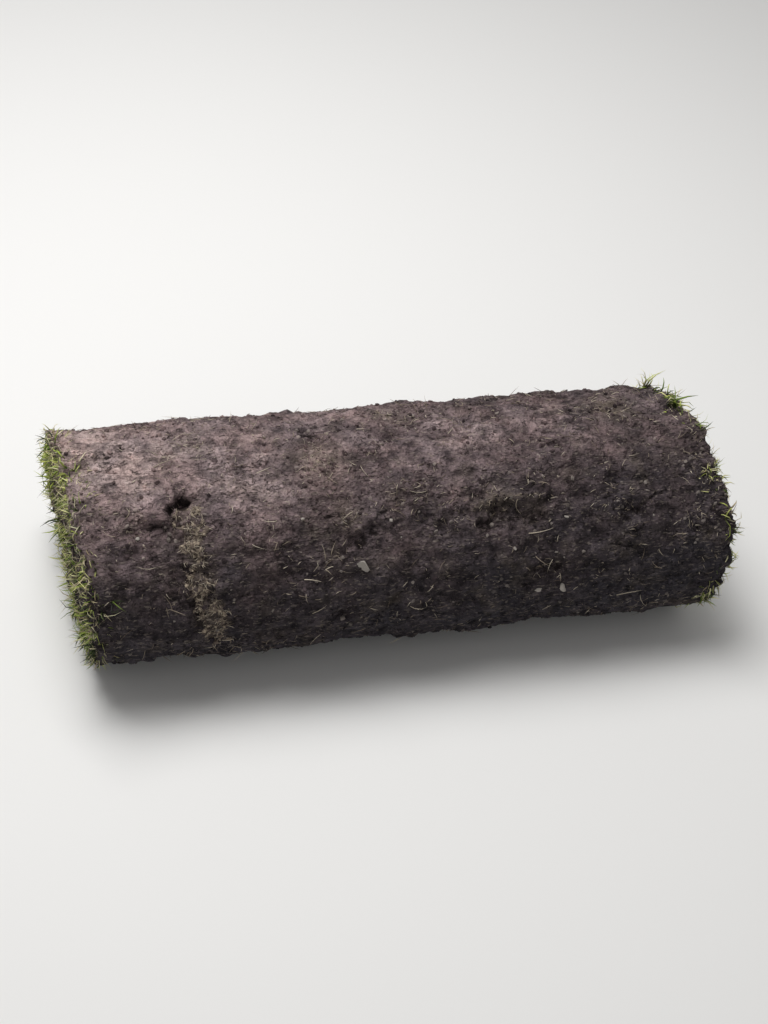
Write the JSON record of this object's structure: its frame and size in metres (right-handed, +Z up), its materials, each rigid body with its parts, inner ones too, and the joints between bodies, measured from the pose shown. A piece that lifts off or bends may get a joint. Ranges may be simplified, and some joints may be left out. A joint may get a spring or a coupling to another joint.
{
  "type": "roll of turf",
  "caption": "Strip of cut lawn turf rolled up grass side in, soil side out, lying on its side and sagged to a flattened round.",
  "frame": {"origin": "on the floor, under the middle of the roll", "axes": "+X along the roll, towards the end on the picture's right; +Y towards the back, where the strip's free edge lies; +Z up"},
  "size_m": [0.6396, 0.2486, 0.1952],
  "materials": {
    "soil": "matt, crumbly, damp",
    "grass": "fresh mown blades",
    "root_fibre": "dry, matt",
    "grit": "matt"
  },
  "bodies": {
    "root": {"turf_roll": "soil"}
  },
  "joints": []
}
